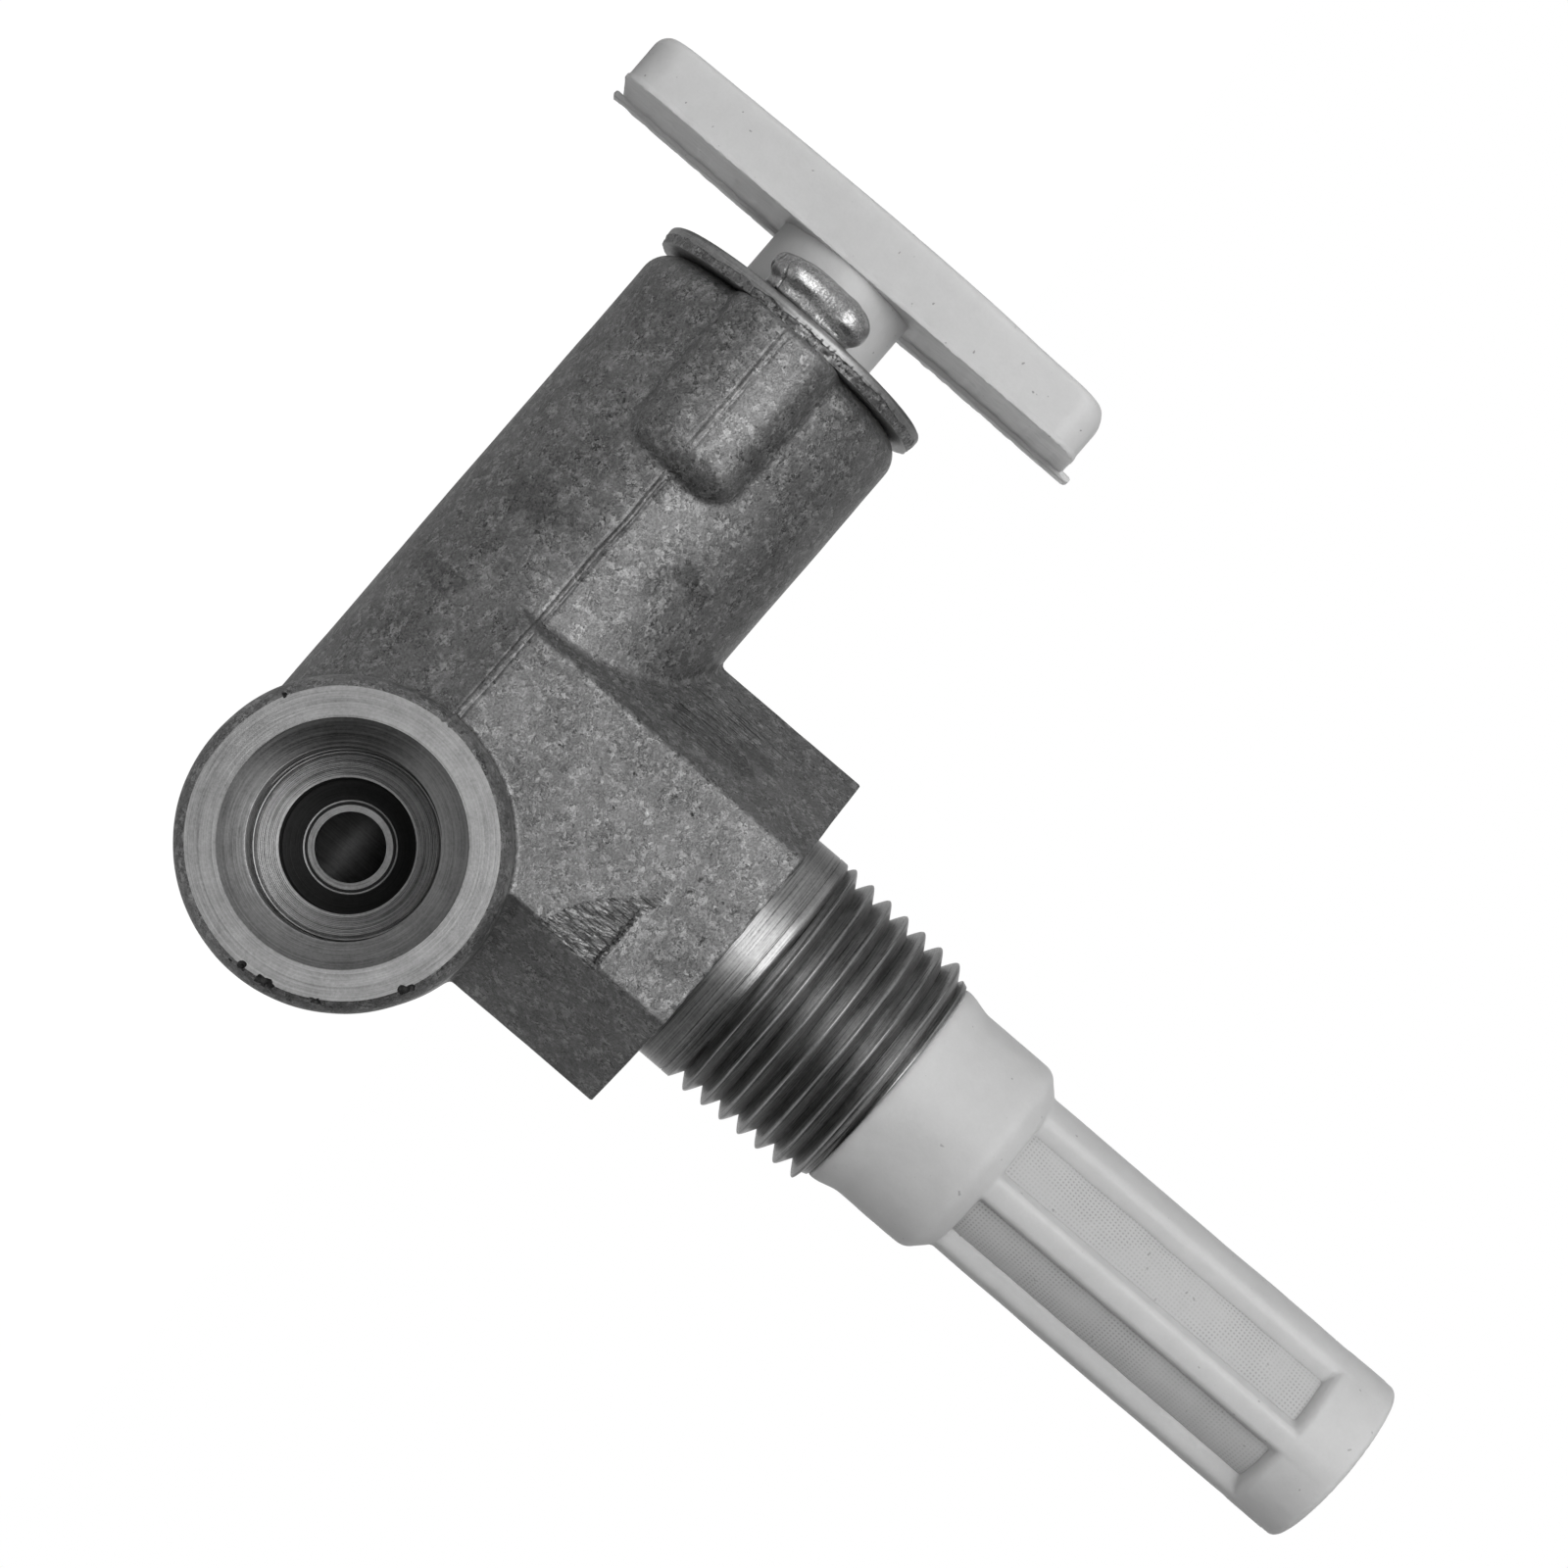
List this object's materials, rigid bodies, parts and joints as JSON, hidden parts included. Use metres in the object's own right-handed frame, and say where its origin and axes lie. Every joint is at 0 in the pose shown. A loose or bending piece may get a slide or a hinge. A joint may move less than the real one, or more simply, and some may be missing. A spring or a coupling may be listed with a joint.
{
  "type": "fuel tap",
  "caption": "Screw-down fuel tap: cast elbow body with hexagon, taper-threaded tank spigot with gauze filter, side outlet port and a white plastic T handle.",
  "frame": {"origin": "on the spigot's axis, at the hexagon's shoulder", "axes": "+Z along the spigot up into the tank, -X towards the handle, -Y out of the outlet"},
  "size_m": [0.0601, 0.0272, 0.0887],
  "materials": {
    "cast_body": "as-cast grey zinc alloy, satin, turned bright on the machined faces",
    "plate_steel": "dull pressed steel with sheared edges",
    "white_plastic": "moulded white plastic, satin",
    "filter_plastic": "moulded white plastic, satin",
    "gauze": "fine woven white plastic gauze",
    "seal_rubber": "black rubber"
  },
  "bodies": {
    "tap": {"tap_body": "cast_body", "retaining_plate": "plate_steel", "filter_cage": "filter_plastic", "filter_gauze": "gauze"},
    "seals": {"stem_seal": "seal_rubber", "seat_seal": "seal_rubber"},
    "valve": {"spindle": "white_plastic"}
  },
  "joints": [
    {"name": "valve_lift", "type": "slide", "parent": "tap", "child": "seals", "axis": [-1, 0, 0], "range_m": [0, 0.0035]},
    {"name": "handle_turn", "type": "hinge", "parent": "seals", "child": "valve", "pos_m": [0, 0, -0.021], "axis": [-1, 0, 0], "range_deg": [0, 630]}
  ],
  "couplings": [
    {"joint": "valve_lift", "follows": "handle_turn", "m_per_rad": 0.0003183}
  ]
}
